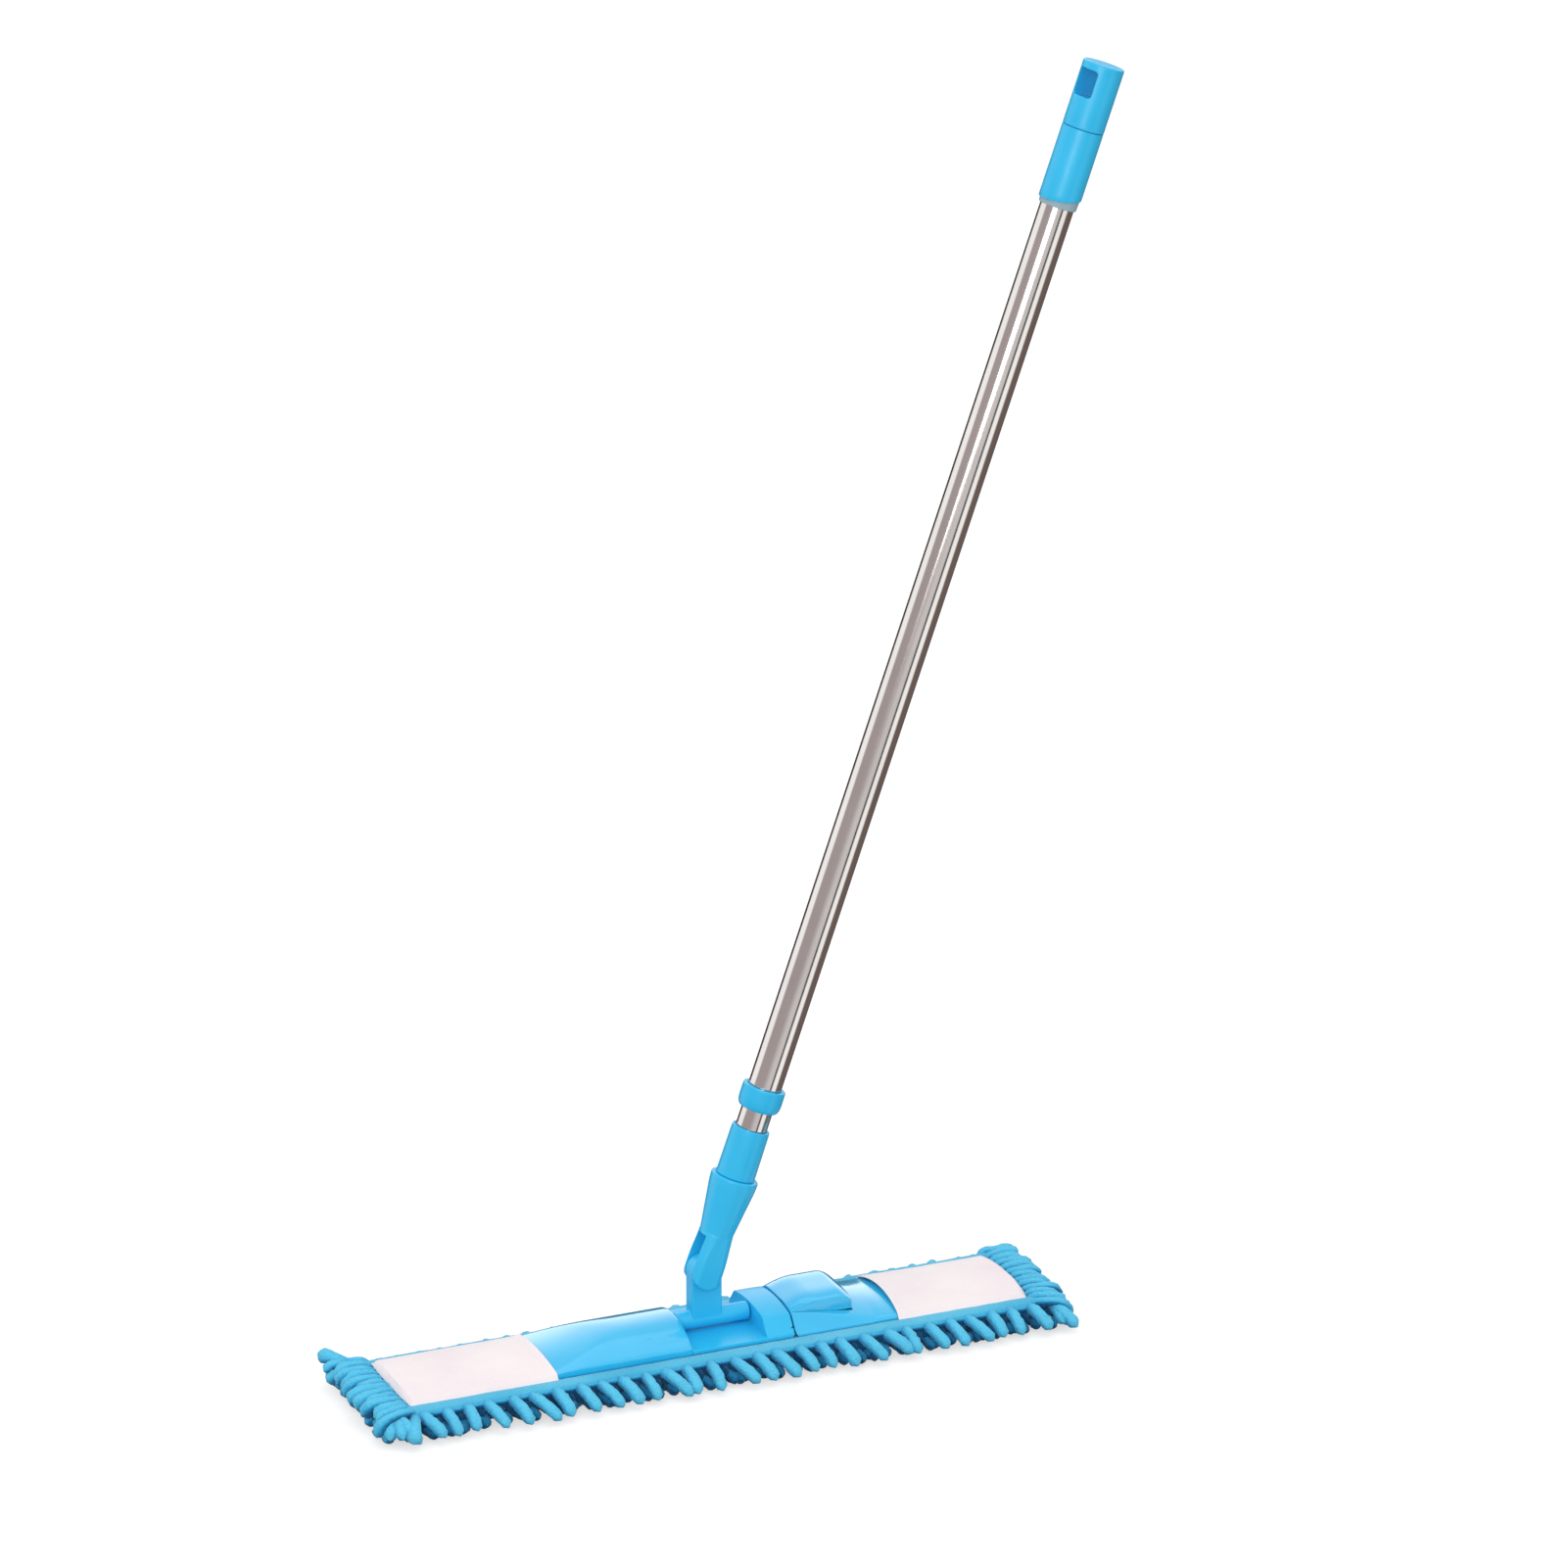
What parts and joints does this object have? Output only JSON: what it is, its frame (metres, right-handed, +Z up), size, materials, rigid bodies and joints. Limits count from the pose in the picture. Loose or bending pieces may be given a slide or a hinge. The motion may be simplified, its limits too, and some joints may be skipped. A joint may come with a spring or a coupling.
{
  "type": "flat mop",
  "caption": "Flat mop with a folding frame, slip-on chenille pad, two-axis swivel and twist-lock telescopic steel pole.",
  "frame": {"origin": "on the floor under the pad, straight below the swivel's two axes", "axes": "+X along the head from the fixed wing towards the folding wing, +Y across the head to its back edge, +Z up; the pole leans 19.5 degrees towards +X at rest"},
  "size_m": [0.6078, 0.132, 0.9605],
  "materials": {
    "sky_plastic": "moulded sky-blue plastic, satin",
    "gloss_sky_plastic": "moulded sky-blue plastic, high gloss",
    "inner_plastic": "moulded blue plastic, matt",
    "grey_plastic": "grey-blue plastic, matt",
    "white_nylon": "natural nylon, matt",
    "stainless_tube": "bright drawn stainless steel",
    "steel_pins": "plated steel",
    "chenille": "microfibre chenille pile",
    "binding_tape": "folded woven tape",
    "pocket_cloth": "pinkish white woven cloth"
  },
  "bodies": {
    "head": {"left_wing": "gloss_sky_plastic", "centre_bracket": "sky_plastic", "bracket_screw_1": "steel_pins", "bracket_screw_2": "steel_pins", "bracket_screw_3": "steel_pins", "bracket_screw_4": "steel_pins", "barrel_axle": "steel_pins", "fold_hinge_pin": "steel_pins", "pocket_left": "pocket_cloth", "pad_backing_left": "chenille", "binding_tape_left": "binding_tape", "chenille_pile_left": "chenille"},
    "yoke": {"swivel_barrel": "sky_plastic"},
    "lower_pole": {"handle_socket": "sky_plastic", "yoke_pin": "steel_pins", "threaded_ferrule": "sky_plastic", "inner_tube": "stainless_tube", "lock_plug": "white_nylon"},
    "lock_ring": {"lock_ring": "inner_plastic"},
    "upper_pole": {"outer_tube": "stainless_tube", "tube_collar": "sky_plastic", "grip_ring": "grey_plastic", "grip_sleeve": "sky_plastic", "hanging_cap": "sky_plastic"},
    "folding_wing": {"right_wing": "gloss_sky_plastic", "pedal_pin": "steel_pins", "pedal_spring": "steel_pins", "pocket_right": "pocket_cloth", "pad_backing_right": "chenille", "binding_tape_right": "binding_tape", "chenille_pile_right": "chenille"},
    "pedal": {"release_pedal": "gloss_sky_plastic"}
  },
  "joints": [
    {"name": "head_tilt", "type": "hinge", "parent": "head", "child": "yoke", "pos_m": [0, 0, 0.0318], "axis": [1, 0, 0], "range_deg": [-75, 75]},
    {"name": "pole_swing", "type": "hinge", "parent": "yoke", "child": "lower_pole", "pos_m": [0, 0, 0.07], "axis": [0, 1, 0], "range_deg": [-70, 31]},
    {"name": "twist_lock", "type": "hinge", "parent": "lower_pole", "child": "lock_ring", "pos_m": [0.18693, 0, 0.59788], "axis": [0.3338, 0, 0.9426], "range_deg": [0, 90]},
    {"name": "telescope", "type": "slide", "parent": "lock_ring", "child": "upper_pole", "axis": [0.3338, 0, 0.9426], "range_m": [-0.01, 0.4]},
    {"name": "wing_fold", "type": "hinge", "parent": "head", "child": "folding_wing", "pos_m": [0.0577, 0, 0.0244], "axis": [0, 1, 0], "range_deg": [0, 60]},
    {"name": "pedal_press", "type": "hinge", "parent": "folding_wing", "child": "pedal", "pos_m": [0.07, 0, 0.03], "axis": [0, 1, 0], "range_deg": [0, 6.5], "stiffness_Nm_per_rad": 4, "springref_deg": -2.86, "deforming": ["pedal_spring"]}
  ]
}
